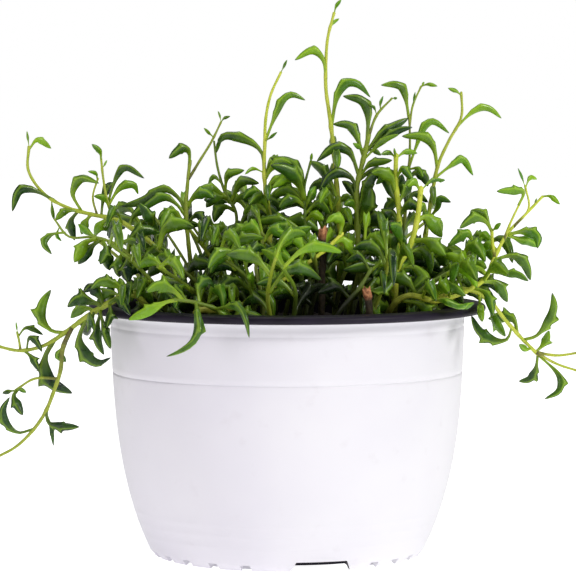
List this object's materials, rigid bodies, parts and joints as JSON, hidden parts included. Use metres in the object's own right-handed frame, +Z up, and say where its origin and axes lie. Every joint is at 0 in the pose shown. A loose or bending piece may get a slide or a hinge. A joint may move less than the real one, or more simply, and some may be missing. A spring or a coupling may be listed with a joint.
{
  "type": "potted succulent plant",
  "caption": "Trailing string of dolphins succulent with arched, finned leaves, in a round white nursery pot with a dark rolled lip and a notched foot.",
  "frame": {"origin": "on the ground, on the pot's vertical axis, midway across the plant's spread", "axes": "+Z up along the pot's axis; -Y towards the front, the side with the widest notch of the foot; +X to the viewer's right seen from the front, along the plant's widest spread"},
  "size_m": [0.247, 0.1823, 0.2309],
  "materials": {
    "pot": "satin white outside, dark purple-black inside and on the lip",
    "soil": "rough dark potting mix",
    "foliage": "waxy green leaves on yellow-green stems",
    "cut_stem": "dry brown cut stem"
  },
  "bodies": {
    "root": {"cut_stem_front": "cut_stem", "cut_stem_middle": "cut_stem", "cut_stem_right": "cut_stem", "pot": "pot", "soil": "soil", "stem_bud": "foliage", "stem_bush_01": "foliage", "stem_bush_02": "foliage", "stem_bush_03": "foliage", "stem_bush_04": "foliage", "stem_bush_05": "foliage", "stem_bush_06": "foliage", "stem_bush_07": "foliage", "stem_bush_08": "foliage", "stem_bush_09": "foliage", "stem_bush_10": "foliage", "stem_bush_11": "foliage", "stem_bush_12": "foliage", "stem_bush_13": "foliage", "stem_bush_14": "foliage", "stem_bush_15": "foliage", "stem_bush_16": "foliage", "stem_bush_17": "foliage", "stem_bush_18": "foliage", "stem_bush_19": "foliage", "stem_bush_20": "foliage", "stem_bush_21": "foliage", "stem_bush_22": "foliage", "stem_bush_23": "foliage", "stem_bush_24": "foliage", "stem_bush_25": "foliage", "stem_bush_26": "foliage", "stem_bush_27": "foliage", "stem_bush_28": "foliage", "stem_bush_29": "foliage", "stem_bush_30": "foliage", "stem_bush_31": "foliage", "stem_centre": "foliage", "stem_centre_left": "foliage", "stem_far_left": "foliage", "stem_front_drape": "foliage", "stem_front_low": "foliage", "stem_front_mid": "foliage", "stem_front_right": "foliage", "stem_front_yellow": "foliage", "stem_left_low": "foliage", "stem_left_tall": "foliage", "stem_left_trail": "foliage", "stem_mid_left": "foliage", "stem_right_cluster": "foliage", "stem_right_fine": "foliage", "stem_right_mid": "foliage", "stem_right_spray": "foliage", "stem_right_tall": "foliage", "stem_right_trail": "foliage", "stem_tallest": "foliage", "stem_trailing_1": "foliage", "stem_trailing_2": "foliage", "stem_trailing_3": "foliage", "stem_trailing_4": "foliage"}
  },
  "joints": []
}
